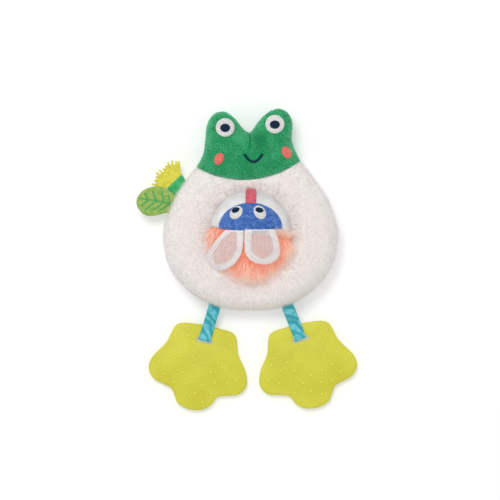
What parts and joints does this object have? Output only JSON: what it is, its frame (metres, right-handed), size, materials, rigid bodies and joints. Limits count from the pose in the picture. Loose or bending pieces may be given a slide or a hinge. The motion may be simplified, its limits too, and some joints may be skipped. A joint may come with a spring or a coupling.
{
  "type": "plush frog ring rattle",
  "caption": "Soft ring-shaped baby rattle with a frog's head, a plush fly hung in the hole, two seam tags and teether feet on ribbon loops.",
  "frame": {"origin": "middle of the toy's outline, on the surface that its back lies on", "axes": "+Y from the feet to the head, +Z out of the back towards the face, +X to the viewer's right"},
  "size_m": [0.1771, 0.2421, 0.0531],
  "materials": {
    "cream_plush": "short curled pile",
    "green_velour": "brushed velour",
    "fibre_fill": "loose polyester fibre",
    "white_thread": "satin stitch",
    "navy_thread": "satin stitch",
    "coral_thread": "satin stitch",
    "red_ribbon": "woven ribbon",
    "white_jersey": "smooth knit",
    "orange_fur": "long faux fur",
    "blue_velour": "brushed velour",
    "wing_mesh": "open net",
    "wing_binding": "satin binding",
    "leaf_cloth": "woven cotton",
    "leaf_stitch": "embroidery",
    "yellow_felt": "felt",
    "calyx_cloth": "velour",
    "teal_ribbon": "printed satin ribbon",
    "lime_silicone": "matt moulded silicone",
    "capsule_plastic": "moulded",
    "bead_plastic": "moulded"
  },
  "bodies": {
    "frog": {"ring_front_cover": "cream_plush", "ring_back_cover": "cream_plush", "head_front_cover": "green_velour", "head_back_cover": "green_velour", "body_stuffing": "fibre_fill", "left_eye_white": "white_thread", "right_eye_white": "white_thread", "left_pupil": "navy_thread", "right_pupil": "navy_thread", "left_cheek": "coral_thread", "right_cheek": "coral_thread", "mouth": "navy_thread"},
    "fly": {"tongue_ribbon": "red_ribbon", "fly_head_cover": "white_jersey", "fly_body_cover": "orange_fur", "fly_face": "blue_velour", "fly_left_eye": "white_thread", "fly_right_eye": "white_thread", "fly_left_pupil": "navy_thread", "fly_right_pupil": "navy_thread", "fly_stuffing": "fibre_fill", "capsule_front": "capsule_plastic", "capsule_back": "capsule_plastic"},
    "beads": {"bead_1": "bead_plastic", "bead_2": "bead_plastic", "bead_3": "bead_plastic", "bead_4": "bead_plastic", "bead_5": "bead_plastic", "bead_6": "bead_plastic"},
    "left_wing": {"left_wing_net": "wing_mesh", "left_wing_binding": "wing_binding"},
    "right_wing": {"right_wing_net": "wing_mesh", "right_wing_binding": "wing_binding"},
    "leaf": {"leaf_front": "leaf_cloth", "leaf_back": "leaf_cloth", "leaf_veins": "leaf_stitch"},
    "flower": {"flower_fringe": "yellow_felt", "flower_calyx": "calyx_cloth"},
    "left_strap": {"left_strap": "teal_ribbon"},
    "right_strap": {"right_strap": "teal_ribbon"},
    "left_foot": {"left_teether": "lime_silicone"},
    "right_foot": {"right_teether": "lime_silicone"}
  },
  "joints": [
    {"name": "left_leg_sway", "type": "hinge", "parent": "frog", "child": "left_strap", "pos_m": [-0.02561, -0.03742, 0.01462], "axis": [0, 0, -1], "range_deg": [0, 30], "deforming": ["left_strap"]},
    {"name": "left_foot_flap", "type": "hinge", "parent": "left_strap", "child": "left_foot", "pos_m": [-0.02794, -0.04507, 0.009], "axis": [-0.9563, 0.2924, 0], "range_deg": [-35, 90], "deforming": ["left_strap"]},
    {"name": "right_leg_sway", "type": "hinge", "parent": "frog", "child": "right_strap", "pos_m": [0.03279, -0.03707, 0.01469], "axis": [0, 0, 1], "range_deg": [0, 30], "deforming": ["right_strap"]},
    {"name": "right_foot_flap", "type": "hinge", "parent": "right_strap", "child": "right_foot", "pos_m": [0.03572, -0.04451, 0.009], "axis": [-0.9304, -0.3665, 0], "range_deg": [-35, 90], "deforming": ["right_strap"]},
    {"name": "fly_swing", "type": "hinge", "parent": "frog", "child": "fly", "pos_m": [0.0034, 0.057, 0.026], "axis": [-1, 0, 0], "range_deg": [0, 40], "deforming": ["tongue_ribbon"]},
    {"name": "left_wing_lift", "type": "hinge", "parent": "fly", "child": "left_wing", "pos_m": [-0.00945, 0.02342, 0.0485], "axis": [-0.961, 0.0208, -0.2757], "range_deg": [0, 60]},
    {"name": "right_wing_lift", "type": "hinge", "parent": "fly", "child": "right_wing", "pos_m": [0.01046, 0.02395, 0.04997], "axis": [-0.9834, -0.0154, 0.181], "range_deg": [0, 60]},
    {"name": "bead_shake", "type": "slide", "parent": "fly", "child": "beads", "axis": [0, 0, 1], "range_m": [0, 0.016]},
    {"name": "leaf_flap", "type": "hinge", "parent": "frog", "child": "leaf", "pos_m": [-0.06084, 0.0451, 0.0185], "axis": [0.4124, 0.911, 0], "range_deg": [0, 70], "stiffness_Nm_per_rad": 0.004},
    {"name": "flower_flap", "type": "hinge", "parent": "frog", "child": "flower", "pos_m": [-0.05363, 0.05798, 0.0129], "axis": [0.5666, 0.824, 0], "range_deg": [-70, 0], "stiffness_Nm_per_rad": 0.004}
  ]
}
